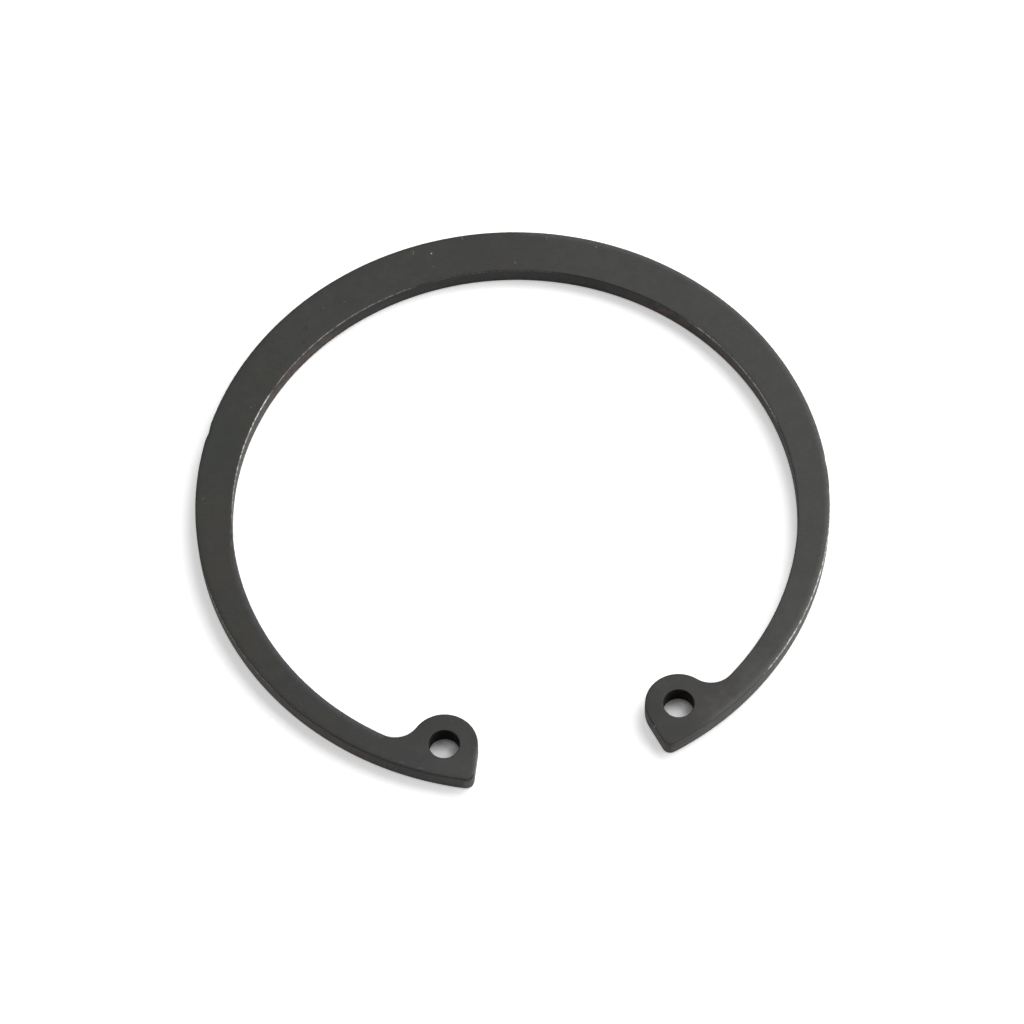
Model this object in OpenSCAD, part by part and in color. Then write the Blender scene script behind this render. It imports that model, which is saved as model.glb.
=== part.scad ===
// An internal circlip: a flat spring ring that snaps into the groove of a bore, stamped in one piece.
// It is drawn free and lying flat. The rim's axis is Z, the lower face is on z = 0, and the gap faces -Y.
// The rim and the inner curve are circles with different centres, which makes the ring widest at its back
// and narrowest at its ends. Each end is a round lug with a plier hole, and its end face is radial.

/* [Ring] */
// Radius of the rim of the free ring
rim_r = 33.1; // [30:0.1:60]
// Thickness of the strip
strip_t = 2; // [1:0.1:3]
// Width of the ring at its back, opposite the gap
back_w = 4.95; // [4.5:0.05:6]
// Distance from the rim's centre to the inner curve's, towards the gap, which tapers the ring
taper_shift = 1.3; // [0.8:0.05:1.5]

/* [Gap and lugs] */
// Angle of the gap, between the two end faces
gap_angle = 35.2; // [25:0.1:60]
// Radius of the lugs
lug_r = 3.45; // [3:0.05:4]
// Distance from the rim in to the centre of each plier hole
hole_inset = 3.6; // [3.2:0.05:4.5]
// Radius of the plier holes
hole_r = 1.55; // [1:0.05:1.9]
// Radius of the neck that blends each lug into the inner curve
neck_r = 2.6; // [1.5:0.1:5]
// Radius of the corner between each end face and the rim
corner_r = 0.85; // [0.6:0.05:1.2]

/* [Edges] */
// Radius of the upper edges, which the die has rolled over
upper_edge_r = 0.3; // [0.1:0.05:0.4]
// Radius of the lower edges
lower_edge_r = 0.15; // [0.05:0.05:0.4]
// Radius of both edges of the plier holes
hole_edge_r = 0.15; // [0.05:0.05:0.4]

/* [Hidden] */
$fn = 128;
steel = [0.27, 0.275, 0.265];

// The outline is made of arcs and of two straight end faces, each tangent to the next.
// Angles are measured from +X, and all of this is the half on the +X side.
inner_r = rim_r - back_w + taper_shift;
inner_c = [0, -taper_shift];
end_a = -90 + gap_angle / 2;
gap_side = end_a - 90;

hole_ring_r = rim_r - hole_inset;
hole_c = polar(hole_ring_r, end_a + asin(lug_r / hole_ring_r));
lug_start = sqrt(pow(hole_ring_r, 2) - pow(lug_r, 2));

corner_a = end_a + asin(corner_r / (rim_r - corner_r));
corner_c = polar(rim_r - corner_r, corner_a);
corner_start = sqrt(pow(rim_r - corner_r, 2) - pow(corner_r, 2));

// The centres of the neck, of the plier hole and of the inner curve make a triangle with known sides
neck_reach = inner_r - neck_r;
hole_reach = norm(hole_c - inner_c);
neck_a = angle_of(hole_c - inner_c) + corner_angle(neck_reach, hole_reach, lug_r + neck_r);
neck_c = inner_c + polar(neck_reach, neck_a);
lug_a = angle_of(neck_c - hole_c);

// The ring is a flat web inside its edges, which are a rounded section edge_w deep, turned about each arc's centre.
// The web runs under every edge, to web_in from the outline, which is clear of the edge's rounding.
deepest_edge_r = max(upper_edge_r, lower_edge_r, hole_edge_r);
edge_w = (corner_r + deepest_edge_r) / 2;
web_in = (edge_w + deepest_edge_r) / 2;
web_slack = (edge_w - web_in) / 2;

// Neighbouring edges meet face to face at seams, on the lines through their centres. A seam ends in
// one of the arcs' centres or seam_reach past the wall, and both neighbours are cut at the same two ends.
seam_reach = 2 * edge_w;
rim_seam = corner_c + polar(corner_r + seam_reach, corner_a);
corner_seam = corner_c + polar(corner_r + seam_reach, gap_side);
lug_seam = hole_c + polar(lug_r + seam_reach, gap_side);
inner_seam = neck_c + polar(neck_r + seam_reach, neck_a);

// Point at radius r and angle a
function polar(r, a) = [r * cos(a), r * sin(a)];

// Direction of v
function angle_of(v) = atan2(v[1], v[0]);

// Angle between sides p and q of a triangle, opposite side s
function corner_angle(p, q, s) = acos((p * p + q * q - s * s) / (2 * p * q));

// Points along the arc about c from angle a to angle b, n chords in all
function arc(c, r, a, b, n) = [for (i = [0:n]) c + polar(r, a + (b - a) * i / n)];

// The same, with chords that stay within web_slack of the arc
function web_arc(c, r, a, b) = arc(c, r, a, b, ceil(abs(b - a) / (2 * acos(1 - web_slack / r))));

// The points of one half, back to front, and then the other half's, front to back
function both_halves(points) =
    concat(points, [for (i = [len(points) - 2 : -1 : 1]) [-points[i][0], points[i][1]]]);

function hundredths(p) = [round(p[0] * 100) / 100, round(p[1] * 100) / 100];

// Moves to p in two steps, whole hundredths of a millimetre and then the rest, which keeps all of p's digits
module at(p) {
    translate(hundredths(p)) translate(p - hundredths(p)) children();
}

// What rounding takes off a square corner
module corner_waste(r) {
    difference() {
        square(2 * r);
        circle(r);
    }
}

// Section of an edge, with its wall on x = 0 and its metal on the -x side
module edge_section(upper_r = upper_edge_r, lower_r = lower_edge_r) {
    difference() {
        translate([-edge_w, 0]) square([edge_w, strip_t]);
        translate([-upper_r, strip_t - upper_r]) corner_waste(upper_r);
        translate([-lower_r, lower_r]) mirror([0, 1]) corner_waste(lower_r);
    }
}

// An edge turned about c, with its metal inside the circle
module outer_edge(c, r) {
    at(c) rotate_extrude() translate([r, 0]) edge_section();
}

// An edge turned about c, with its metal outside the circle
module inner_edge(c, r) {
    at(c) rotate_extrude() translate([r, 0]) mirror([1, 0]) edge_section();
}

// The part of an edge that lies in the patch with the given corners
module within(corners) {
    intersection() {
        children();
        linear_extrude(strip_t) polygon(corners);
    }
}

// The part of a turned edge about c between two seams, with the seams' other ends at first and last
module between(c, r, a, b, first, last) {
    beyond = arc(c, 3 * r, a, b, 6);
    within(concat([c, first], [for (i = [1:5]) beyond[i]], [last])) children();
}

// The edge without its part on the gap's side, below the seams that run from the given points and their mirror images
module back_of(inside, outside) {
    foot = [outside[0], -2 * rim_r];
    difference() {
        children();
        linear_extrude(strip_t) polygon(both_halves([[0, inside[1]], inside, outside, foot, [0, foot[1]]]));
    }
}

// The straight edge of the end face, which the patch between the corner's centre and the lug's cuts to length
module end_edge() {
    within([corner_c, corner_seam, lug_seam, hole_c])
        at(polar(lug_start - seam_reach, end_a)) rotate(end_a) rotate([90, 0, 90])
            linear_extrude(corner_start - lug_start + 2 * seam_reach) mirror([1, 0]) edge_section();
}

// The edges of one end of the ring
module end_edges() {
    between(corner_c, corner_r, corner_a, gap_side, rim_seam, corner_seam) outer_edge(corner_c, corner_r);
    end_edge();
    between(hole_c, lug_r, gap_side + 360, lug_a, lug_seam, neck_c) outer_edge(hole_c, lug_r);
    between(neck_c, neck_r, lug_a - 180, neck_a, hole_c, inner_seam) inner_edge(neck_c, neck_r);
    at(hole_c) rotate_extrude() translate([hole_r, 0]) mirror([1, 0]) edge_section(hole_edge_r, hole_edge_r);
}

// The flat metal between the edges
module web() {
    half = concat(
        web_arc([0, 0], rim_r - web_in, 90, corner_a),
        web_arc(corner_c, corner_r - web_in, corner_a, gap_side),
        web_arc(hole_c, lug_r - web_in, gap_side + 360, lug_a),
        web_arc(neck_c, neck_r + web_in, lug_a - 180, neck_a),
        web_arc(inner_c, inner_r + web_in, neck_a, 90)
    );
    linear_extrude(strip_t) difference() {
        polygon(both_halves(half));
        at(hole_c) circle(hole_r + web_in);
        mirror([1, 0]) at(hole_c) circle(hole_r + web_in);
    }
}

module retaining_ring() {
    color(steel) {
        web();
        back_of(corner_c, rim_seam) outer_edge([0, 0], rim_r);
        back_of(neck_c, inner_seam) inner_edge(inner_c, inner_r);
        end_edges();
        mirror([1, 0]) end_edges();
    }
}

retaining_ring();
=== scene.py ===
"""An internal circlip of dark phosphated spring steel, lying flat on a pale floor in soft light.

The ring is drawn in millimetres and made metres when its mesh is done. Its edge section is carried
round the outline, wall by wall. The rim's axis is Z, the lower face is on z = 0, and the gap faces
-Y. Angles are in degrees, measured from +X.
"""

import logging
import math
from collections.abc import Callable
from dataclasses import dataclass, field
from enum import Enum

import bmesh
import bpy
from mathutils import Matrix, Vector


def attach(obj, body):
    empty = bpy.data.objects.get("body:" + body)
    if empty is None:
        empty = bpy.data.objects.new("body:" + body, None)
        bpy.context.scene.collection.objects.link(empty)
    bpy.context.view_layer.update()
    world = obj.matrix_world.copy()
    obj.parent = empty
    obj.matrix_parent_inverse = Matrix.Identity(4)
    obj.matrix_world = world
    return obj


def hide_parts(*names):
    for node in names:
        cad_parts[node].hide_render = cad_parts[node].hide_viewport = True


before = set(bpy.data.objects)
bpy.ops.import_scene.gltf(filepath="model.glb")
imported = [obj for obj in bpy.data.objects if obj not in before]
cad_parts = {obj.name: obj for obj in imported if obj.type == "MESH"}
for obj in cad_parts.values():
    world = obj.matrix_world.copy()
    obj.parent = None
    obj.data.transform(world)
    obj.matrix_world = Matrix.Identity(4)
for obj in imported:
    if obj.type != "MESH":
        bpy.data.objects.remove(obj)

log = logging.getLogger("circlip")
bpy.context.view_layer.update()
NODE = "retaining_ring"
SLOT = "blackened_steel"
MM = 0.001  # metres in a millimetre
SNUG = 0.9999  # keeps the ring inside the facets of the CAD model's own arcs
NEAR = 0.0001  # millimetres within which two points are in one place
SEAM = 0.001  # millimetres by which a point may lie past the ends of a flat wall
SLACK = 0.01  # degrees or millimetres by which a point may miss a turned wall or an edge section
Output = bpy.types.NodeSocket
Socket = Output | float
Colour = tuple[float, float, float]


def polar(radius: float, angle: float) -> Vector:
    """Returns the point at a radius and an angle about the rim's axis."""
    turn = math.radians(angle)
    return Vector((radius * math.cos(turn), radius * math.sin(turn), 0.0))


def angle_of(v: Vector) -> float:
    """Returns the direction of v."""
    return math.degrees(math.atan2(v.y, v.x))


def corner_angle(p: float, q: float, s: float) -> float:
    """Returns the angle between sides p and q of a triangle, opposite side s."""
    return math.degrees(math.acos((p * p + q * q - s * s) / (2 * p * q)))


def smooth(x: float, low: float, high: float) -> float:
    """Returns 0 below low and 1 above high, with a soft step between them."""
    t = min(1.0, max(0.0, (x - low) / (high - low)))
    return t * t * (3 - 2 * t)


class Bench:
    """Picks out parts of the mesh that is open in edit mode."""

    @staticmethod
    def mesh() -> bmesh.types.BMesh:
        """Returns the open mesh."""
        return bmesh.from_edit_mesh(bpy.context.object.data)

    @classmethod
    def pick(cls, part: str, test: Callable[[Vector], bool]) -> None:
        """Selects the vertices, edges or faces that lie all within a place, and nothing else.

        Args:
            part: VERT, EDGE or FACE.
            test: whether a point is in the place.
        """
        bpy.ops.mesh.select_mode(type=part)
        bpy.ops.mesh.select_all(action="DESELECT")
        mesh = cls.mesh()
        if part == "VERT":
            for v in mesh.verts:
                v.select = test(v.co)
        else:
            for item in mesh.edges if part == "EDGE" else mesh.faces:
                if all(test(v.co) for v in item.verts):
                    item.select_set(True)
        mesh.select_flush_mode()
        bmesh.update_edit_mesh(bpy.context.object.data)


class Wall(Enum):
    """The walls of the ring, in order along one half, and the wall of its plier hole."""

    RIM = "rim"
    CORNER = "corner"
    END = "end face"
    LUG = "lug"
    NECK = "neck"
    INNER = "inner curve"
    HOLE = "plier hole"

    @property
    def light(self) -> float:
        """Returns how light the wall is painted, where 1 is the lightest: a painted shade on walls
        that get less light.
        """
        # Painted shade: the plier holes and the walls that face into the ring get less light, so their
        # colour is darkened here.
        return {Wall.HOLE: 0.1, Wall.INNER: 0.5, Wall.NECK: 0.6, Wall.LUG: 0.8}.get(self, 1.0)


@dataclass(frozen=True)
class Arc:
    """A wall that is turned about a centre.

    Args:
        wall: which wall it is.
        centre: the centre of its circle.
        radius: the radius of its circle.
        start: the angle where the section starts.
        end: the angle where the section ends.
        hollow: whether the metal lies outside the circle.
    """

    wall: Wall
    centre: Vector
    radius: float
    start: float
    end: float
    hollow: bool = False

    def sweep(self, step: float) -> None:
        """Spins the selected section along the arc.

        Args:
            step: the longest distance between two sections, at the wall.
        """
        turn = math.radians(self.end - self.start)
        steps = math.ceil(self.radius * abs(turn) / step)
        bpy.ops.mesh.spin(steps=steps, angle=-turn, center=self.centre, axis=(0, 0, 1))

    def depth(self, p: Vector) -> float | None:
        """Measures how far a point lies inside the metal.

        Args:
            p: the point.

        Returns:
            Its depth, or None if it isn't beside this wall.
        """
        v = p - self.centre
        low, high = min(self.start, self.end) - SLACK, max(self.start, self.end) + SLACK
        if not any(low <= angle_of(v) + turn <= high for turn in (-360, 0, 360)):
            return None
        return (v.length - self.radius) * (1 if self.hollow else -1)


@dataclass(frozen=True)
class Straight:
    """A wall that is flat.

    Args:
        wall: which wall it is.
        start: the point where the section starts.
        end: the point where the section ends.
    """

    wall: Wall
    start: Vector
    end: Vector

    def sweep(self, step: float) -> None:
        """Extrudes the selected section along the wall, in equal steps.

        Args:
            step: the longest distance between two sections.
        """
        run = self.end - self.start
        steps = math.ceil(run.length / step)
        bpy.ops.mesh.extrude_repeat(steps=steps, offset=run / steps)

    def depth(self, p: Vector) -> float | None:
        """Measures how far a point lies inside the metal.

        Args:
            p: the point.

        Returns:
            Its depth, or None if it isn't beside this wall.
        """
        run, v = self.end - self.start, p - self.start
        along = v.dot(run.normalized())
        return v.cross(run.normalized()).z if -SEAM <= along <= run.length + SEAM else None


@dataclass
class Outline:
    """The outline of the free ring, in millimetres: arcs and flat end faces, each tangent to the next.

    Args:
        rim_r: radius of the rim.
        thickness: thickness of the strip.
        back_w: width of the ring at its back.
        taper_shift: distance from the rim's centre to the inner curve's, towards the gap.
        gap_angle: angle between the two end faces.
        lug_r: radius of the lugs.
        hole_inset: distance from the rim in to the centre of each plier hole.
        hole_r: radius of the plier holes.
        neck_r: radius of the neck between each lug and the inner curve.
        corner_r: radius of the corner between each end face and the rim.

    Attributes:
        half: the walls of the half on the +X side, in order.
        hole: the wall of its plier hole.
    """

    rim_r: float = 33.1
    thickness: float = 2.0
    back_w: float = 4.95
    taper_shift: float = 1.3
    gap_angle: float = 35.2
    lug_r: float = 3.45
    hole_inset: float = 3.6
    hole_r: float = 1.55
    neck_r: float = 2.6
    corner_r: float = 0.85
    half: list[Arc | Straight] = field(init=False)
    hole: Arc = field(init=False)

    def __post_init__(self) -> None:
        """Works out the walls, from the back of the rim to the back of the inner curve."""
        inner_r = self.rim_r - self.back_w + self.taper_shift
        inner_c = Vector((0.0, -self.taper_shift, 0.0))
        end_a = self.gap_angle / 2 - 90
        hole_ring_r = self.rim_r - self.hole_inset
        hole_c = polar(hole_ring_r, end_a + math.degrees(math.asin(self.lug_r / hole_ring_r)))
        lug_start = math.sqrt(hole_ring_r**2 - self.lug_r**2)
        corner_ring_r = self.rim_r - self.corner_r
        corner_a = end_a + math.degrees(math.asin(self.corner_r / corner_ring_r))
        corner_start = math.sqrt(corner_ring_r**2 - self.corner_r**2)
        neck_reach, hole_reach = inner_r - self.neck_r, (hole_c - inner_c).length
        past_hole = corner_angle(neck_reach, hole_reach, self.lug_r + self.neck_r)
        neck_a = angle_of(hole_c - inner_c) + past_hole
        neck_c = inner_c + polar(neck_reach, neck_a)
        lug_a = angle_of(neck_c - hole_c)
        self.half = [
            Arc(Wall.RIM, Vector(), self.rim_r, 90, corner_a),
            Arc(Wall.CORNER, polar(corner_ring_r, corner_a), self.corner_r, corner_a, end_a - 90),
            Straight(Wall.END, polar(corner_start, end_a), polar(lug_start, end_a)),
            Arc(Wall.LUG, hole_c, self.lug_r, end_a + 270, lug_a),
            Arc(Wall.NECK, neck_c, self.neck_r, lug_a - 180, neck_a, hollow=True),
            Arc(Wall.INNER, inner_c, inner_r, neck_a, 90, hollow=True),
        ]
        self.hole = Arc(Wall.HOLE, hole_c, self.hole_r, 90, 450, hollow=True)

    def locate(self, p: Vector, reach: float) -> tuple[Wall | None, float]:
        """Finds the wall that a point of the mesh belongs to.

        Args:
            p: the point.
            reach: how far inside the metal a wall's edge section goes.

        Returns:
            The wall and the point's depth inside it, or None and reach where no edge is near.
        """
        q = Vector((abs(p.x), p.y, 0.0))
        found = ((w.depth(q), w.wall) for w in (*self.half, self.hole))
        near = [(d, w) for d, w in found if d is not None and -SLACK < d < reach + SLACK]
        depth, wall = min(near, key=lambda item: item[0], default=(reach, None))
        return wall, depth


@dataclass
class EdgeSection:
    """The section of an edge, in millimetres: a wall with an eased corner above and below.

    Args:
        reach: how far the section goes inside the metal.
        upper_r: radius of the upper corner.
        lower_r: radius of the lower corner.
        corner_rows: facets on each corner.
        wall_rows: facets between the corners.
        flat_rows: facets on the upper face.
    """

    reach: float = 0.8
    upper_r: float = 0.1
    lower_r: float = 0.12
    corner_rows: int = 5
    wall_rows: int = 12
    flat_rows: int = 7

    def draw(self, wall: Vector, inward: int, thickness: float) -> None:
        """Draws the section in edit mode from a plane, and leaves it selected.

        Args:
            wall: the foot of the wall, which faces along Y.
            inward: 1 if the metal lies towards +Y from the wall, or -1 towards -Y.
            thickness: thickness of the strip.
        """
        middle = wall + Vector((0, inward * self.reach / 2, thickness / 2))
        bpy.ops.mesh.select_all(action="DESELECT")
        bpy.ops.mesh.primitive_plane_add(size=1, location=middle, rotation=(0, math.pi / 2, 0))
        bpy.ops.transform.resize(value=(1, self.reach, thickness), center_override=middle)

        def here(p: Vector) -> bool:
            """Returns whether a point is on the new section."""
            return abs(p.x - wall.x) < NEAR and -NEAR < (p.y - wall.y) * inward < self.reach + NEAR

        def at_wall(p: Vector) -> bool:
            """Returns whether a point is on the wall."""
            return here(p) and abs(p.y - wall.y) < NEAR

        Bench.pick("VERT", lambda p: at_wall(p) and p.z > thickness - NEAR)
        bpy.ops.mesh.bevel(offset=self.upper_r, segments=self.corner_rows, affect="VERTICES")
        Bench.pick("VERT", lambda p: at_wall(p) and p.z < NEAR)
        bpy.ops.mesh.bevel(offset=self.lower_r, segments=self.corner_rows, affect="VERTICES")
        Bench.pick("FACE", here)
        bpy.ops.mesh.delete(type="ONLY_FACE")
        Bench.pick("EDGE", lambda p: here(p) and abs(p.y - wall.y) > self.reach - NEAR)
        bpy.ops.mesh.delete(type="EDGE")
        Bench.pick("EDGE", at_wall)
        bpy.ops.mesh.subdivide(number_cuts=self.wall_rows - 1)
        Bench.pick("EDGE", lambda p: here(p) and p.z > thickness - NEAR)
        bpy.ops.mesh.subdivide(number_cuts=self.flat_rows - 1)
        Bench.pick("EDGE", lambda p: here(p) and p.z < NEAR)
        bpy.ops.mesh.subdivide(number_cuts=1)
        Bench.pick("EDGE", here)


class Worn(Enum):
    """What use has made of an edge's coat, and the light, sheen and shade painted on its edges."""

    # Rubbed pale in part, and in part a painted highlight on edges and walls that face the lamps.
    PALE = "rubbed pale and painted light"
    # A painted sheen: a lighter bluish band where the inner edge's rounded corner faces the lamps.
    PAINTED_SHEEN = "painted sheen"
    RUSTY = "rusty"
    # Painted shade: dark lines under the upper edges, and a darker far inner wall, where shade falls.
    PAINTED_SHADE = "painted shade"
    BARE = "bare metal"


@dataclass(frozen=True)
class Wear:
    """A stretch of edge whose colour changes, through wear of the dark coat and through painted light
    and shade.

    Args:
        wall: the wall that the edge belongs to.
        worn: what has become of the coat; some kinds are painted light and painted shade.
        start: the angle about the rim's axis where it starts.
        end: the angle where it ends.
        width: how far it reaches from the wall, in millimetres.
        amount: how strong it is, up to 1.
        down: how far down the wall it reaches, from 1 at the upper face to -1 at the lower.
        fade: the angle over which it comes and goes at its two ends.
        blur: the height over which it ends on the wall, on the scale of down.
    """

    wall: Wall
    worn: Worn
    start: float
    end: float
    width: float
    amount: float
    down: float = 0.85
    fade: float = 6.0
    blur: float = 0.1

    def at(self, wall: Wall | None, angle: float, depth: float, rise: float) -> float:
        """Works out how strongly a point carries the stretch's change of colour.

        Args:
            wall: the wall that it belongs to.
            angle: its angle about the rim's axis, from 0 to 360.
            depth: its depth inside the wall.
            rise: its height on the wall, from -1 at its foot to 1 at its top.

        Returns:
            The amount, from 0 to the stretch's amount.
        """
        if wall is not self.wall:
            return 0.0
        ease = min(self.fade, (self.end - self.start) / 2)
        turned = angle - 360 if angle > self.end else angle
        along = smooth(turned, self.start, self.start + ease)
        along -= smooth(turned, self.end - ease, self.end)
        inward = smooth(self.width - depth, 0, self.width)
        return self.amount * along * inward * smooth(rise, self.down - self.blur, self.down)


@dataclass(frozen=True)
class Nick:
    """A small dent in a wall.

    Args:
        wall: the wall.
        angle: its angle about the rim's axis.
        length: how long it is along the wall, in millimetres.
        share: its depth, as a share of the deepest nick's.
        full: how far inside the wall it starts to fade, in millimetres.
        reach: how far inside the wall it ends.
    """

    wall: Wall
    angle: float
    length: float
    share: float
    full: float = 0.05
    reach: float = 0.3

    def at(self, wall: Wall | None, p: Vector, depth: float) -> float:
        """Works out how far a point is sunk.

        Args:
            wall: the wall that it belongs to.
            p: the point.
            depth: its depth inside the wall.

        Returns:
            How far it is sunk, as a share of the deepest nick's depth.
        """
        if wall is not self.wall or depth > self.reach:
            return 0.0
        turned = abs((angle_of(p) - self.angle + 180) % 360 - 180)
        away = p.to_2d().length * math.radians(turned)
        along = 1 - smooth(away, 0, self.length / 2)
        return self.share * along * (1 - smooth(depth, self.full, self.reach))


@dataclass
class RingBlank:
    """The stamped ring, in one piece: an edge carried round its outline, with flat faces between.

    Sizes are in millimetres. A rise is a height on a wall, from -1 at its foot to 1 at its top.

    Args:
        outline: its outline.
        edge: the section of its edges.
        step: the longest distance between two sections.
        hole_step: the same, round the plier holes.
        weld: distance within which points become one.
        half_weld: the same, where the two halves meet.
        roll_reach: how far in from the rim the stamping pulled the upper face down.
        roll_drop: how far down it pulled the rim's upper edge.
        roll_rise: rise at which that pull is full.
        nick_depth: depth of the deepest nick.
        edge_dent: depth of the bumps along the upper edges.
        edge_grain: size of those bumps.
        edge_reach: how far inside the walls they end.
        edge_fade: the distance over which they do.
        edge_rise: rises between which they come in.
        wall_dent: depth of the bumps on the torn walls.
        wall_grain: size of those bumps.
        wall_reach: how far inside the walls they end.
        torn_rise: rise above which a wall isn't torn, and under whose negative all of it is.
        wear: where its edges are worn, and where light and shade are painted on them.
        nicks: the dents in its walls.
    """

    outline: Outline = field(default_factory=Outline)
    edge: EdgeSection = field(default_factory=EdgeSection)
    step: float = 0.25
    hole_step: float = 0.2
    weld: float = 0.0005
    half_weld: float = 0.002
    roll_reach: float = 0.6
    roll_drop: float = 0.02
    roll_rise: float = 0.9
    nick_depth: float = 0.14
    edge_dent: float = 0.01
    edge_grain: float = 0.9
    edge_reach: float = 0.3
    edge_fade: float = 0.2
    edge_rise: tuple[float, float] = (0.6, 0.8)
    wall_dent: float = 0.012
    wall_grain: float = 0.35
    wall_reach: float = 0.05
    torn_rise: float = 0.2
    wear: tuple[Wear, ...] = (
        Wear(Wall.INNER, Worn.BARE, 139, 167, width=0.12, amount=0.8),
        Wear(Wall.INNER, Worn.BARE, 158, 178, width=0.09, amount=0.6),
        Wear(Wall.INNER, Worn.BARE, 98, 144, width=0.11, amount=0.4),
        Wear(Wall.INNER, Worn.BARE, 66, 102, width=0.1, amount=0.2),
        Wear(Wall.INNER, Worn.BARE, 4, 42, width=0.11, amount=0.5),
        # Pale on the inner walls: rubbing, and on the left one painted light where it faces the lamps.
        Wear(Wall.INNER, Worn.PALE, 140, 200, width=0.1, amount=0.4, down=-1),
        Wear(Wall.INNER, Worn.PALE, 12, 36, width=0.1, amount=0.35, down=-1),
        # Painted shade on the far inner wall, which faces away from the lamps.
        Wear(Wall.INNER, Worn.PAINTED_SHADE, 56, 124, width=0.1, amount=0.6, down=-1),
        Wear(Wall.INNER, Worn.RUSTY, 6, 54, width=0.05, amount=0.6, down=-1),
        Wear(Wall.INNER, Worn.RUSTY, 116, 168, width=0.05, amount=0.55, down=-1),
        Wear(Wall.RIM, Worn.RUSTY, 204, 236, width=0.05, amount=0.5, down=-1),
        # A painted sheen on the inner edge at the lower left, where its rounded corner faces the
        # lamps.
        Wear(Wall.INNER, Worn.PAINTED_SHEEN, 178, 250, width=0.8, amount=0.75),
        Wear(Wall.RIM, Worn.BARE, 184, 216, width=0.1, amount=0.35),
        Wear(Wall.RIM, Worn.BARE, -52, -6, width=0.14, amount=0.8),
        # A wide pale band on the rim's upper edge at the right: a painted highlight where the rounded
        # edge faces the lamps, and rubbing.
        Wear(Wall.RIM, Worn.PALE, -66, 80, width=0.75, amount=0.85),
        Wear(Wall.RIM, Worn.PALE, -72, 30, width=0.1, amount=0.4, down=-1),
        # Painted shade: dark lines under the upper edges by the lugs, and on the left lug's corner.
        Wear(Wall.RIM, Worn.PAINTED_SHADE, 222, 262, width=0.18, amount=0.8, down=0.7),
        Wear(Wall.RIM, Worn.PAINTED_SHADE, 226, 262, width=0.05, amount=0.3, down=-1),
        Wear(Wall.RIM, Worn.PAINTED_SHADE, -66, -44, width=0.1, amount=0.5, down=0.8),
        Wear(Wall.CORNER, Worn.PAINTED_SHADE, 245, 262, width=0.2, amount=1, down=0.6),
        # Pale on the left lug's corner and end face, which face the lamps: painted light, and rubbing.
        Wear(Wall.CORNER, Worn.PALE, 245, 262, width=0.1, amount=0.5, down=-1),
        Wear(Wall.END, Worn.PALE, 245, 262, width=0.5, amount=0.8, down=-1),
    )
    nicks: tuple[Nick, ...] = (
        Nick(Wall.RIM, angle=154.8, length=2.2, share=0.7),
        Nick(Wall.INNER, angle=179.4, length=1, share=1),
        Nick(Wall.INNER, angle=176.6, length=0.8, share=0.5),
        Nick(Wall.RIM, angle=-3, length=1.6, share=0.4),
        Nick(Wall.RIM, angle=-9.5, length=1.2, share=0.3),
    )

    def build(self) -> bpy.types.Object:
        """Makes the ring's mesh, in metres.

        Returns:
            The ring, at the origin.
        """
        self._start()
        self._carry_edges_round()
        self._mirror()
        self._fill_faces()
        ring = bpy.context.object
        ring.name = ring.data.name = "stamped_ring"
        self._mark_edges(ring)
        self._sink(ring, "roll", self.roll_drop, axis="Z")
        self._sink(ring, "nick", self.nick_depth)
        self._sink(ring, "edge", self.edge_dent, grain=self.edge_grain)
        self._sink(ring, "wall", self.wall_dent, grain=self.wall_grain)
        bpy.ops.object.mode_set(mode="EDIT")
        bpy.ops.mesh.select_all(action="SELECT")
        bpy.ops.transform.resize(value=(MM * SNUG,) * 3, center_override=(0, 0, 0))
        bpy.ops.object.mode_set(mode="OBJECT")
        bpy.ops.object.shade_smooth()
        return ring

    def _start(self) -> None:
        """Opens a plane at the origin in edit mode and empties it, ready for the sections."""
        bpy.ops.object.select_all(action="DESELECT")
        bpy.ops.mesh.primitive_plane_add(size=1)
        bpy.ops.object.mode_set(mode="EDIT")
        bpy.ops.mesh.select_all(action="SELECT")
        bpy.ops.mesh.delete(type="VERT")

    def _carry_edges_round(self) -> None:
        """Carries the edge section along every wall of one half, and round its plier hole."""
        thickness = self.outline.thickness
        self.edge.draw(Vector((0, self.outline.rim_r, 0)), -1, thickness)
        for wall in self.outline.half:
            wall.sweep(self.step)
        hole = self.outline.hole
        self.edge.draw(hole.centre + Vector((0, hole.radius, 0)), 1, thickness)
        hole.sweep(self.hole_step)
        bpy.ops.mesh.select_all(action="SELECT")
        bpy.ops.mesh.remove_doubles(threshold=self.weld)

    def _mirror(self) -> None:
        """Makes the other half."""
        bpy.ops.object.mode_set(mode="OBJECT")
        bpy.ops.object.modifier_add(type="MIRROR")
        mirror = bpy.context.object.modifiers[-1]
        mirror.merge_threshold = self.half_weld
        bpy.ops.object.modifier_apply(modifier=mirror.name)
        bpy.ops.object.mode_set(mode="EDIT")

    def _fill_faces(self) -> None:
        """Fills the flat upper and lower face between the edges, and turns all faces outwards."""
        for level in (0.0, self.outline.thickness):
            bpy.ops.mesh.select_mode(type="EDGE")
            bpy.ops.mesh.select_all(action="DESELECT")
            mesh = Bench.mesh()
            for e in mesh.edges:
                if e.is_boundary and all(abs(v.co.z - level) < NEAR for v in e.verts):
                    e.select_set(True)
            bmesh.update_edit_mesh(bpy.context.object.data)
            bpy.ops.mesh.fill(use_beauty=True)
        bpy.ops.mesh.select_all(action="SELECT")
        bpy.ops.mesh.normals_make_consistent(inside=False)
        bpy.ops.object.mode_set(mode="OBJECT")

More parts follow.
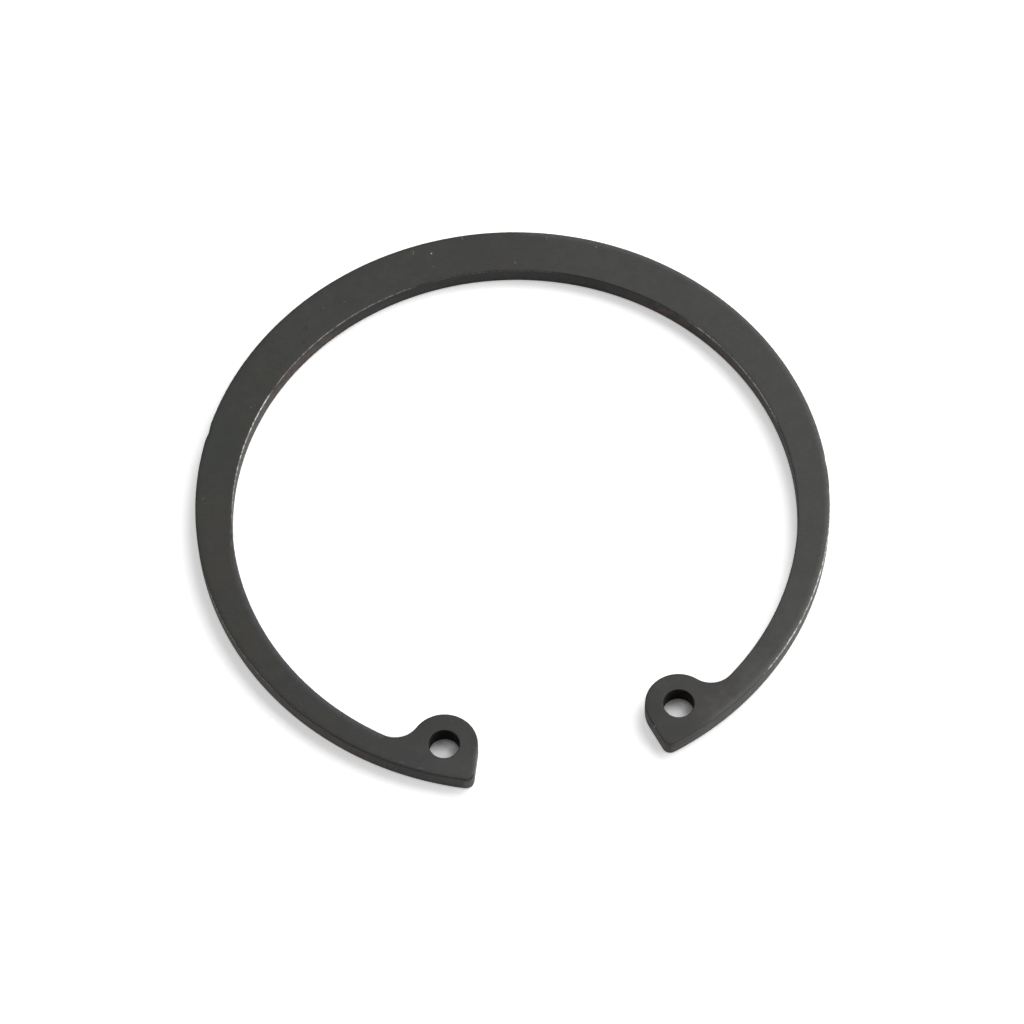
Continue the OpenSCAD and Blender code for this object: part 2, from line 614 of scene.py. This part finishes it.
    def _mark_edges(self, ring: bpy.types.Object) -> None:
        """Gives each vertex its depth inside its wall, its wall's painted shade, its wear and its
        painted light and shade, and groups what is sunk later.

        Args:
            ring: the ring, in millimetres.
        """
        layers = {name: [] for name in ("depth", "light", *(worn.value for worn in Worn))}
        groups = {name: ring.vertex_groups.new(name=name) for name in ("roll", "nick", "edge", "wall")}
        half = self.outline.thickness / 2
        for v in ring.data.vertices:
            wall, depth = self.outline.locate(v.co, self.edge.reach)
            depth, rise, angle = max(depth, 0.0), v.co.z / half - 1, angle_of(v.co) % 360
            layers["depth"].append(depth)
            layers["light"].append(wall.light if wall else 1.0)
            for worn in Worn:
                amounts = (w.at(wall, angle, depth, rise) for w in self.wear if w.worn is worn)
                layers[worn.value].append(max(amounts))
            for name, weight in self._weights(v.co, wall, depth, rise).items():
                groups[name].add([v.index], weight, "REPLACE")
        for name, values in layers.items():
            layer = ring.data.attributes.new(name=name, type="FLOAT", domain="POINT")
            layer.data.foreach_set("value", values)

    def _weights(self, p: Vector, wall: Wall | None, depth: float, rise: float) -> dict[str, float]:
        """Works out how far a point follows each group that is sunk.

        Args:
            p: the point.
            wall: the wall that it belongs to.
            depth: its depth inside the wall.
            rise: its rise on the wall.

        Returns:
            The point's weight in each group, from 0 to 1.
        """
        pulled = smooth(rise, 0, self.roll_rise) if wall in (Wall.RIM, Wall.CORNER) else 0.0
        upper = smooth(rise, *self.edge_rise) if wall is not Wall.HOLE else 0.0
        torn = smooth(self.torn_rise - rise, 0, 2 * self.torn_rise)
        return {
            "roll": max(0.0, 1 - depth / self.roll_reach) ** 2 * pulled,
            "nick": max(nick.at(wall, p, depth) for nick in self.nicks),
            "edge": smooth(self.edge_reach - depth, 0, self.edge_fade) * upper,
            "wall": (1 - smooth(depth, 0, self.wall_reach)) * torn,
        }

    @staticmethod
    def _sink(
        ring: bpy.types.Object, group: str, depth: float, grain: float = 0.0, axis: str = "NORMAL"
    ) -> None:
        """Sinks a group of vertices into the metal, so that the ring keeps its size.

        Args:
            ring: the ring, in millimetres.
            group: the vertex group.
            depth: how deep the deepest one goes.
            grain: size of the bumps that are left, or 0 to sink them evenly.
            axis: the direction that they sink against.
        """
        bpy.ops.object.modifier_add(type="DISPLACE")
        dents = ring.modifiers[-1]
        dents.direction, dents.vertex_group, dents.strength, dents.mid_level = axis, group, -depth, 0.0
        if grain:
            dents.texture = bpy.data.textures.new(group, "CLOUDS")
            dents.texture.noise_scale = grain
        bpy.ops.object.modifier_apply(modifier=dents.name)


@dataclass(frozen=True)
class Mottle:
    """A cloudy pattern, stretched so that it gives first where it is low and last where it is high.

    Args:
        size: about how large its clouds are, in millimetres.
        detail: how many finer layers they have.
        rough: how strong the finer layers are, up to 1.
        low: the value up to which it gives first.
        high: the value from which it gives last.
        first: what it gives there.
        last: what it gives there.
    """

    size: float
    detail: float = 3.0
    rough: float = 0.5
    low: float = 0.3
    high: float = 0.7
    first: float = 0.0
    last: float = 1.0


class Nodes:
    """Lays out the nodes of one material or world."""

    def __init__(self, tree: bpy.types.NodeTree) -> None:
        """Starts from an empty tree."""
        self.tree = tree
        tree.nodes.clear()

    def add(self, kind: str, inputs: dict | None = None, **settings: object) -> bpy.types.Node:
        """Adds a node.

        Args:
            kind: the node's type, without its ShaderNode prefix.
            inputs: a value or an output socket for each named or numbered input.
            settings: the node's own settings.

        Returns:
            The node.
        """
        node = self.tree.nodes.new("ShaderNode" + kind)
        for name, value in settings.items():
            setattr(node, name, value)
        for name, value in (inputs or {}).items():
            if isinstance(value, Output):
                self.tree.links.new(value, node.inputs[name])
            else:
                node.inputs[name].default_value = value
        return node

    def attribute(self, name: str) -> Output:
        """Returns the value of one of the mesh's attributes."""
        return self.add("Attribute", attribute_name=name).outputs["Fac"]

    def math(self, operation: str, *values: Socket) -> Output:
        """Returns the result of a sum on numbers or sockets."""
        return self.add("Math", dict(enumerate(values)), operation=operation).outputs[0]

    def swing(self, value: Socket, amount: float) -> Output:
        """Returns a pattern from 0 to 1 as one that swings about 0, by amount in all."""
        return self.math("MULTIPLY", self.math("SUBTRACT", value, 0.5), amount)

    def remap(
        self, value: Socket, low: float, high: float, first: float = 0.0, last: float = 1.0
    ) -> Output:
        """Returns a soft step from first, where value is low, to last, where it is high."""
        inputs = {0: value, 1: low, 2: high, 3: first, 4: last}
        return self.add("MapRange", inputs, interpolation_type="SMOOTHSTEP").outputs[0]

    def noise(self, place: Output, size: float, detail: float = 3.0, rough: float = 0.5) -> Output:
        """Returns a cloudy pattern from 0 to 1, with clouds of about a size in millimetres."""
        inputs = {"Vector": place, "Scale": 1 / size, "Detail": detail, "Roughness": rough}
        return self.add("TexNoise", inputs).outputs[0]

    def mottle(self, place: Output, m: Mottle) -> Output:
        """Returns a mottled pattern."""
        return self.remap(self.noise(place, m.size, m.detail, m.rough), m.low, m.high, m.first, m.last)

    def grey(self, value: Socket) -> Output:
        """Returns a number as a grey."""
        return self.add("CombineColor", {0: value, 1: value, 2: value}).outputs[0]

    def mix(
        self, share: Socket, first: Socket | Colour, second: Socket | Colour, blend: str = "MIX"
    ) -> Output:
        """Mixes two colours.

        Args:
            share: how much of the second colour shows.
            first: the first colour.
            second: the second colour.
            blend: how the second colour is laid on the first.

        Returns:
            The mixed colour.
        """
        node = self.add("Mix", data_type="RGBA", blend_type=blend, clamp_factor=True)
        # The node's own order of inputs, with its two colours at 6 and 7
        for index, value in ((0, share), (6, first), (7, second)):
            if isinstance(value, Output):
                self.tree.links.new(value, node.inputs[index])
            else:
                node.inputs[index].default_value = (*value, 1) if isinstance(value, tuple) else value
        return node.outputs[2]


class Tint(Enum):
    """Colours that the phosphate coat takes."""

    OLIVE = (0.0380, 0.0383, 0.0335)
    SLATE = (0.0375, 0.0380, 0.0362)
    BROWN = (0.045, 0.039, 0.033)
    GREEN = (0.034, 0.039, 0.035)
    BLUE = (0.035, 0.036, 0.039)
    PALE = (0.064, 0.065, 0.061)
    DARK = (0.027, 0.027, 0.025)
    RUST = (0.110, 0.060, 0.037)


@dataclass(frozen=True)
class Stain:
    """A soft patch of another tint.

    Args:
        x: its place along X, in millimetres.
        y: its place along Y.
        size: how far it reaches.
        tint: its colour.
        amount: how strong it is, up to 1.
        z: its height, which is the upper face's unless it lies on a wall.
    """

    x: float
    y: float
    size: float
    tint: Tint
    amount: float
    z: float = Outline.thickness


@dataclass(frozen=True)
class Scratch:
    """A short bright mark on the upper face.

    Args:
        x: its place along X, in millimetres.
        y: its place along Y.
        turn: its direction.
        length: its length.
        width: its width.
        amount: how bright it is, up to 1.
    """

    x: float
    y: float
    turn: float
    length: float
    width: float
    amount: float


@dataclass(frozen=True)
class BlackenedSteel:
    """Spring steel with a mottled dark phosphate coat, brown on sheared walls and rubbed at its edges,
    with painted light, sheen and shade on its edges and walls.

    Sizes are in millimetres.

    Args:
        bare: colour of the bare steel.
        worn: colours of the changed coat and of the painted light, sheen and shade, in the order that
            they are laid on.
        wall_shade: colour of the smooth-sheared upper part of the walls.
        wall_rust: colour of the torn lower part of the walls.
        painted_bore_shade: colour of the plier holes' walls, near black: a painted shade for the deep
            holes.
        gloss: how strongly the coat mirrors, where 0.5 is plain.
        face_rough: roughness of the flat faces.
        wall_rough: roughness of the walls.
        bore_rough: least roughness of the plier holes' walls.
        bare_rough: the share of its roughness that bare steel keeps.
        grain: size of the coat's grain.
        grain_rough: how strong its finer layers are, up to 1.
        rough_swing: how much the roughness changes with the grain.
        relief: height of the grain.
        relief_strength: how strongly it shows.
        wall_ends: depths inside a wall where the faces' look is full and where the wall's is.
        bore_ends: how light a wall is painted where the holes' painted shade is gone and where it is
            full.
        bare_full: the wear from which an edge is bare.
        burnish_ends: heights where a wall's smooth-sheared part ends and where its torn one is full.
        waves: size of the waves in that line.
        wave_height: how far they swing up and down.
        drawn_out: scale of a wall's pattern downwards, below 1 to draw it out into streaks.
        stain_grain: size of the stains' uneven outlines.
        stain_swing: how uneven they are, as a share of the stain's size.
        stain_ends: shares of a stain's size where it is gone and where it is full.
        slate: where the faces are slate, and not olive.
        brown: where they are brown.
        clouds: how light their clouds are.
        speckle: how light their grain is.
        streaks: how brown the torn part of the walls is.
        patches: how much of each edge's wear, painted light and painted shade shows.
        blotches: how much of the edges' rust shows.
        crumbs: how much of the bare steel shows.
        stains: patches of other tints.
        scratches: bright marks on the upper face.
        scratch_ends: shares of a scratch's size where it is gone and where it is full.
        scratch_height: how far above and below the face a scratch shows.
    """

    bare: Colour = (0.62, 0.60, 0.57)
    worn: tuple[tuple[Worn, Colour], ...] = (
        # Pale: rubbing, and in part a painted highlight where edges and walls face the lamps.
        (Worn.PALE, (0.105, 0.105, 0.098)),
        # A painted sheen: the bluish colour of the inner edge where it faces the lamps.
        (Worn.PAINTED_SHEEN, (0.105, 0.110, 0.125)),
        (Worn.RUSTY, (0.088, 0.060, 0.045)),
        # Painted shade: near black, for lines under upper edges and for walls that face away from the
        # lamps.
        (Worn.PAINTED_SHADE, (0.010, 0.010, 0.010)),
    )
    wall_shade: Colour = (0.046, 0.043, 0.041)
    wall_rust: Colour = (0.090, 0.077, 0.068)
    # Painted shade: the plier holes' walls are near black because they lie deep in shade.
    painted_bore_shade: Colour = (0.013, 0.009, 0.008)
    gloss: float = 0.3
    face_rough: float = 0.48
    wall_rough: float = 0.68
    bore_rough: float = 0.9
    bare_rough: float = 0.6
    grain: float = 0.22
    grain_rough: float = 0.6
    rough_swing: float = 0.2
    relief: float = 0.02
    relief_strength: float = 0.35
    wall_ends: tuple[float, float] = (0.10, 0.02)
    bore_ends: tuple[float, float] = (0.3, 0.15)
    bare_full: float = 0.8
    burnish_ends: tuple[float, float] = (1.25, 0.85)
    waves: float = 1.5
    wave_height: float = 0.8
    drawn_out: float = 0.15
    stain_grain: float = 1.2
    stain_swing: float = 1.4
    stain_ends: tuple[float, float] = (1.1, 0.1)
    slate: Mottle = Mottle(3.5, low=0.38, high=0.62)
    brown: Mottle = Mottle(1.8, detail=4, low=0.5, high=0.7, last=0.3)
    clouds: Mottle = Mottle(1.4, rough=0.6, first=0.92, last=1.08)
    speckle: Mottle = Mottle(0.22, detail=2, rough=0.6, first=0.88, last=1.12)
    streaks: Mottle = Mottle(0.35, detail=4, rough=0.6, first=0.35)
    patches: Mottle = Mottle(0.3, rough=0.65, first=0.35)
    blotches: Mottle = Mottle(0.9, detail=4, rough=0.7, low=0.42, high=0.6)
    crumbs: Mottle = Mottle(0.35, rough=0.65, low=0.38, high=0.62, first=0.2)
    stains: tuple[Stain, ...] = (
        Stain(-31, -2.5, 4, Tint.BROWN, 0.75),
        Stain(-31, 3, 4, Tint.BROWN, 0.3),
        Stain(-28, -11, 4, Tint.BROWN, 0.4),
        Stain(-24, -19, 2.5, Tint.BLUE, 0.5),
        Stain(-28.5, 12.5, 4.5, Tint.GREEN, 0.8),
        Stain(-27, 10.5, 3.5, Tint.DARK, 0.3),
        Stain(-12, -28.5, 4.5, Tint.GREEN, 0.4),
        Stain(-16, -28, 4, Tint.BLUE, 0.6),
        Stain(8.6, 29.6, 4, Tint.BLUE, 0.3),
        Stain(5, 28.4, 3, Tint.BROWN, 0.3),
        Stain(27, 2, 3.5, Tint.BLUE, 0.4),
        Stain(26.3, 7.1, 3, Tint.BROWN, 0.35),
        Stain(17.5, -24.6, 2.6, Tint.BROWN, 0.8),
        Stain(15.4, -27, 3, Tint.BROWN, 0.9),
        Stain(9.3, -27.4, 2.2, Tint.BLUE, 0.8),
        Stain(10.3, -30, 1.4, Tint.DARK, 0.5),
        Stain(9, -26.6, 2.8, Tint.DARK, 1),
        Stain(12.3, -29.8, 3, Tint.DARK, 0.4),
        Stain(16.6, -25.8, 3, Tint.DARK, 0.4),
        Stain(19.8, -24.6, 3, Tint.PALE, 0.2),
        Stain(16.6, -28.3, 1.8, Tint.PALE, 0.2),
        Stain(25.8, -17.3, 5, Tint.PALE, 0.15),
        Stain(-12.1, -29.9, 5, Tint.PALE, 0.35),
        Stain(-10, -30.2, 2.5, Tint.PALE, 0.3),
        Stain(18.9, -27.2, 1.5, Tint.PALE, 0.4),
        Stain(-17.5, -26, 4, Tint.PALE, 0.15),
        Stain(-17.5, 25, 5, Tint.PALE, 0.12),
        Stain(3, 29.5, 10, Tint.DARK, 0.35),
        Stain(16.5, -28.7, 3.5, Tint.PALE, 0.8, z=0.3),
        Stain(21, -25.6, 3.5, Tint.PALE, 0.8, z=0.3),
        Stain(25, -21.7, 3.5, Tint.PALE, 0.5, z=0.3),
        Stain(-17.7, 24.8, 0.45, Tint.DARK, 0.8),
        Stain(-18.2, 23.1, 0.4, Tint.DARK, 0.7),
        Stain(-25.1, -21.7, 0.5, Tint.RUST, 0.8, z=1),
        Stain(-24.3, -22.6, 0.4, Tint.RUST, 0.7, z=0.9),
    )
    scratches: tuple[Scratch, ...] = (
        Scratch(-2.9, 31.45, 0, 0.24, 0.22, 1),
        Scratch(-4.8, 31.9, 80, 0.8, 0.1, 0.22),
        Scratch(0.7, 32.7, 110, 0.5, 0.1, 0.3),
        Scratch(9.6, 31, 85, 0.5, 0.1, 0.18),
        Scratch(14.6, 28.9, 80, 0.5, 0.12, 0.22),
        Scratch(5.7, 28.6, 90, 0.5, 0.12, 0.2),
        Scratch(-3, 29.8, 10, 0.4, 0.1, 0.15),
        Scratch(-13.1, 27.2, 0, 0.3, 0.25, 0.08),
        Scratch(-15.4, 26.9, 0, 0.3, 0.25, 0.08),
        Scratch(-25, 16.2, 0, 0.3, 0.3, 0.08),
        Scratch(-31.7, 6.2, 0, 0.3, 0.3, 0.08),
        Scratch(-16.7, -28.1, -25, 0.9, 0.14, 0.08),
        Scratch(-15, -29.1, -20, 1, 0.14, 0.08),
        Scratch(9.2, -29, 50, 0.4, 0.25, 0.3),
    )
    scratch_ends: tuple[float, float] = (1.0, 0.3)
    scratch_height: float = 0.5

    def make(self) -> bpy.types.Material:
        """Makes the finish.

        Returns:
            The finish as a material.
        """
        steel = bpy.data.materials.new(SLOT)
        steel.use_nodes = True
        n = Nodes(steel.node_tree)
        here = n.add("TexCoord").outputs["Object"]
        place = n.add("Mapping", {"Vector": here, "Scale": (1 / MM,) * 3}).outputs[0]
        fine = n.noise(place, self.grain, rough=self.grain_rough)
        light = n.attribute("light")
        on_wall = n.remap(n.attribute("depth"), *self.wall_ends)
        in_bore = n.math("MULTIPLY", on_wall, n.remap(light, *self.bore_ends))
        # Painted shade: the walls' colour is multiplied by the light attribute, darkest in the holes
        # and darker on the inner walls.
        wall = n.mix(1.0, self._wall(n, place), n.grey(light), "MULTIPLY")
        coat = self._stained(n, place, n.mix(on_wall, self._face(n, place), wall))
        # Painted shade in the plier holes: their walls take the near-black painted_bore_shade colour.
        coat = n.mix(in_bore, self._worn(n, place, coat), self.painted_bore_shade)
        bare = self._bare(n, place)
        rough = n.remap(on_wall, 0, 1, self.face_rough, self.wall_rough)
        rough = n.math("ADD", rough, n.swing(fine, self.rough_swing))
        rough = n.math("MULTIPLY", rough, n.remap(bare, 0, 1, 1, self.bare_rough))
        rough = n.math("MAXIMUM", rough, n.math("MULTIPLY", in_bore, self.bore_rough))
        relief = {"Height": fine, "Strength": self.relief_strength, "Distance": self.relief * MM}
        shader = n.add("BsdfPrincipled", {
            "Base Color": n.mix(bare, coat, self.bare),
            "Metallic": bare,
            "Roughness": rough,
            "Specular IOR Level": self.gloss,
            "Normal": n.add("Bump", relief).outputs[0],
        })
        n.add("OutputMaterial", {0: shader.outputs[0]})
        return steel

    def _face(self, n: Nodes, place: Output) -> Output:
        """Mixes the colour of the flat faces: soft clouds of tints with a fine grain.

        Args:
            n: the material's nodes.
            place: the point, in millimetres.

        Returns:
            The colour.
        """
        colour = n.mix(n.mottle(place, self.slate), Tint.OLIVE.value, Tint.SLATE.value)
        colour = n.mix(n.mottle(place, self.brown), colour, Tint.BROWN.value)
        shade = n.math("MULTIPLY", n.mottle(place, self.clouds), n.mottle(place, self.speckle))
        return n.mix(1.0, colour, n.grey(shade), "MULTIPLY")

    def _wall(self, n: Nodes, place: Output) -> Output:
        """Mixes the colour of the sheared walls: a dark smooth-sheared band above a brown torn one.

        Args:
            n: the material's nodes.
            place: the point, in millimetres.

        Returns:
            The colour.
        """
        height = n.add("SeparateXYZ", {0: place}).outputs[2]
        drawn = n.add("Mapping", {"Vector": place, "Scale": (1, 1, self.drawn_out)}).outputs[0]
        line = n.math("ADD", height, n.swing(n.noise(drawn, self.waves), self.wave_height))
        torn = n.math("MULTIPLY", n.remap(line, *self.burnish_ends), n.mottle(drawn, self.streaks))
        return n.mix(torn, self.wall_shade, self.wall_rust)

    def _stained(self, n: Nodes, place: Output, colour: Output) -> Output:
        """Lays the stains over a colour, their outlines uneven.

        Args:
            n: the material's nodes.
            place: the point, in millimetres.
            colour: the colour of the coat.

        Returns:
            The colour of the stained coat.
        """
        warp = n.swing(n.noise(place, self.stain_grain), self.stain_swing)
        for stain in self.stains:
            centre = (stain.x, stain.y, stain.z)
            offset = n.add("VectorMath", {0: place, 1: centre}, operation="DISTANCE").outputs["Value"]
            near = n.math("ADD", n.math("DIVIDE", offset, stain.size), warp)
            colour = n.mix(n.remap(near, *self.stain_ends, 0, stain.amount), colour, stain.tint.value)
        return colour

    def _worn(self, n: Nodes, place: Output, colour: Output) -> Output:
        """Lays the wear of the edges, with their painted light, sheen and shade, over a colour,
        patchy, and the rust in blotches.

        Args:
            n: the material's nodes.
            place: the point, in millimetres.
            colour: the colour of the coat.

        Returns:
            The colour of the worn coat, with its painted light and shade.
        """
        patchy, blotchy = n.mottle(place, self.patches), n.mottle(place, self.blotches)
        for worn, tint in self.worn:
            cover = blotchy if worn is Worn.RUSTY else patchy
            colour = n.mix(n.math("MULTIPLY", n.attribute(worn.value), cover), colour, tint)
        return colour

    def _bare(self, n: Nodes, place: Output) -> Output:
        """Works out where the steel is bare: in crumbs on rubbed edges, and in the scratches.

        Args:
            n: the material's nodes.
            place: the point, in millimetres.

        Returns:
            How bare it is, from 0 to 1.
        """
        rubbed = n.remap(n.attribute(Worn.BARE.value), 0, self.bare_full)
        bare = n.math("MULTIPLY", rubbed, n.mottle(place, self.crumbs))
        for s in self.scratches:
            local = n.add("Mapping", {
                "Vector": place,
                "Location": (s.x, s.y, Outline.thickness),
                "Rotation": (0, 0, math.radians(s.turn)),
                "Scale": (s.length / 2, s.width / 2, self.scratch_height),
            }, vector_type="TEXTURE").outputs[0]
            away = n.add("VectorMath", {0: local}, operation="LENGTH").outputs["Value"]
            bare = n.math("MAXIMUM", n.remap(away, *self.scratch_ends, 0, s.amount), bare)
        return bare


@dataclass(frozen=True)
class PhotoCamera:
    """The camera, at the photograph's viewing angle.

    Args:
        elevation: its angle above the floor.
        turn: how far it stands round the ring, from -Y towards -X.
        roll: how far it is tipped about its own axis.
        distance: its distance from the ring's upper face, in millimetres.
        slide: how far it is moved sideways and up in its own frame, in millimetres.
        lens: its focal length, in millimetres.
        sensor: width of its sensor, in millimetres.
        clip: the nearest and the farthest that it sees, in metres.
    """

    elevation: float = 60.28
    turn: float = 9.6
    roll: float = -1.28
    distance: float = 529.6
    slide: tuple[float, float] = (-0.049, -1.394)
    lens: float = 178.6
    sensor: float = 36.0
    clip: tuple[float, float] = (0.01, 20.0)

    def place(self) -> None:
        """Adds the camera and makes it the scene's own."""
        rise, turn, tip = (math.radians(a) for a in (self.elevation, self.turn, self.roll))
        level = math.cos(rise)
        back = Vector((-math.sin(turn) * level, -math.cos(turn) * level, math.sin(rise)))
        right = Vector((math.cos(turn), -math.sin(turn), 0))
        up = back.cross(right)
        side = right * math.cos(tip) + up * math.sin(tip)
        above = up * math.cos(tip) - right * math.sin(tip)
        top = Vector((0, 0, Outline.thickness))
        where = top + back * self.distance + side * self.slide[0] + above * self.slide[1]
        bpy.ops.object.camera_add(location=where * MM)
        camera = bpy.context.object
        camera.rotation_euler = Matrix((side, above, back)).transposed().to_euler()
        camera.data.lens, camera.data.sensor_width = self.lens, self.sensor
        camera.data.clip_start, camera.data.clip_end = self.clip
        bpy.context.scene.camera = camera


@dataclass(frozen=True)
class Softbox:
    """A square lamp that faces the ring.

    Args:
        name: its name.
        turn: the angle it stands at, about the rim's axis.
        elevation: its angle above the floor.
        distance: its distance from the ring, in metres.
        size: its side, in metres.
        glow: how bright its face is, where 1 is white.
    """

    name: str
    turn: float
    elevation: float
    distance: float
    size: float
    glow: float

    def place(self) -> None:
        """Adds the lamp."""
        rise = math.radians(self.elevation)
        where = polar(math.cos(rise), self.turn) + Vector((0, 0, math.sin(rise)))
        bpy.ops.object.light_add(type="AREA", location=where * self.distance)
        lamp = bpy.context.object
        lamp.name = self.name
        lamp.rotation_euler = where.to_track_quat("Z", "Y").to_euler()
        lamp.data.size = self.size
        lamp.data.energy = self.glow * math.pi * self.size**2


@dataclass
class Studio:
    """A pale floor, soft lamps and a pale room.

    Args:
        floor_size: side of the floor, in metres.
        floor_drop: how far the floor lies below the ring, in millimetres.
        floor_shade: how pale the floor is.
        floor_lift: how much brighter open floor shows than its paint is.
        hollow: how near, in millimetres, a wall takes that lift away; the lift fades by ambient
            occlusion, which paints shade beside the ring and in the holes.
        hollow_ends: shares of open sky where the lift is gone and where it is full.
        back_shade: how bright the room is behind the ring.
        front_shade: how bright it is on its dim side, in front.
        dim_side: the direction of that side.
        dim_ends: how nearly a direction is that one where the room is bright and where dim.
        lamps: the lamps.
    """

    floor_size: float = 8.0
    floor_drop: float = 0.02
    floor_shade: float = 0.95
    floor_lift: float = 0.45
    hollow: float = 4.0
    hollow_ends: tuple[float, float] = (0.3, 0.5)
    back_shade: float = 0.35
    front_shade: float = 0.112
    dim_side: tuple[float, float, float] = (-0.1, -0.75, 0.65)
    dim_ends: tuple[float, float] = (0.2, 0.9)
    lamps: tuple[Softbox, ...] = (
        Softbox("skylight", turn=38, elevation=52, distance=0.8, size=0.5, glow=5.4),
        Softbox("window", turn=-14, elevation=26, distance=0.9, size=0.7, glow=2.8),
        Softbox("fill", turn=200, elevation=35, distance=1.0, size=0.6, glow=0.6),
    )

    def build(self) -> None:
        """Makes the floor, the room and the lamps."""
        bpy.ops.object.select_all(action="DESELECT")
        bpy.ops.mesh.primitive_plane_add(size=self.floor_size, location=(0, 0, -self.floor_drop * MM))
        floor = bpy.context.object
        floor.name = "floor"
        floor.data.materials.append(self._floor_paint())
        for lamp in self.lamps:
            lamp.place()
        self._room()
        bpy.context.scene.view_settings.view_transform = "Standard"

    def _floor_paint(self) -> bpy.types.Material:
        """Mixes a matt white that shows as white on open floor; its glow fades by ambient occlusion
        near walls and in the holes, which paints shade there on top of the real shadow.

        Returns:
            The paint.
        """
        paint = bpy.data.materials.new("floor_paint")
        paint.use_nodes = True
        n = Nodes(paint.node_tree)
        path = n.add("LightPath")
        seen = n.math("MAXIMUM", path.outputs["Is Camera Ray"], path.outputs["Is Glossy Ray"])
        seen = n.math("MAXIMUM", seen, path.outputs["Is Transmission Ray"])
        matt = n.add("BsdfDiffuse", {"Color": (self.floor_shade,) * 3 + (1,)})
        # Painted shade: the glow is taken away where ambient occlusion finds walls near, in the holes
        # and at the ring's foot.
        sky = n.add("AmbientOcclusion", {"Distance": self.hollow * MM}, samples=8).outputs["AO"]
        lift = n.math("MULTIPLY", seen, n.remap(sky, *self.hollow_ends, 0, self.floor_lift))
        glow = n.add("Emission", {"Strength": lift})
        both = n.add("AddShader", {0: matt.outputs[0], 1: glow.outputs[0]})
        n.add("OutputMaterial", {0: both.outputs[0]})
        return paint

    def _room(self) -> None:
        """Makes the world a pale room, dimmer in front of the ring than behind it."""
        world = bpy.data.worlds.new("room")
        world.use_nodes = True
        n = Nodes(world.node_tree)
        look = n.add("TexCoord").outputs["Generated"]
        front = n.add("VectorMath", {0: look, 1: self.dim_side}, operation="DOT_PRODUCT")
        shade = n.remap(front.outputs["Value"], *self.dim_ends, self.back_shade, self.front_shade)
        n.add("OutputWorld", {0: n.add("Background", {"Strength": shade}).outputs[0]})
        bpy.context.scene.world = world


def main() -> None:
    """Builds the ring and its studio, and logs each piece."""
    logging.basicConfig(level=logging.INFO, format="%(name)s: %(message)s")
    PhotoCamera().place()
    ring = RingBlank().build()
    ring.data.materials.clear()
    ring.data.materials.append(BlackenedSteel().make())
    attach(ring, "root")
    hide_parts(NODE)
    log.info("%s: %d vertices, %d faces", ring.name, len(ring.data.vertices), len(ring.data.polygons))
    Studio().build()


if __name__ == "__main__":
    main()
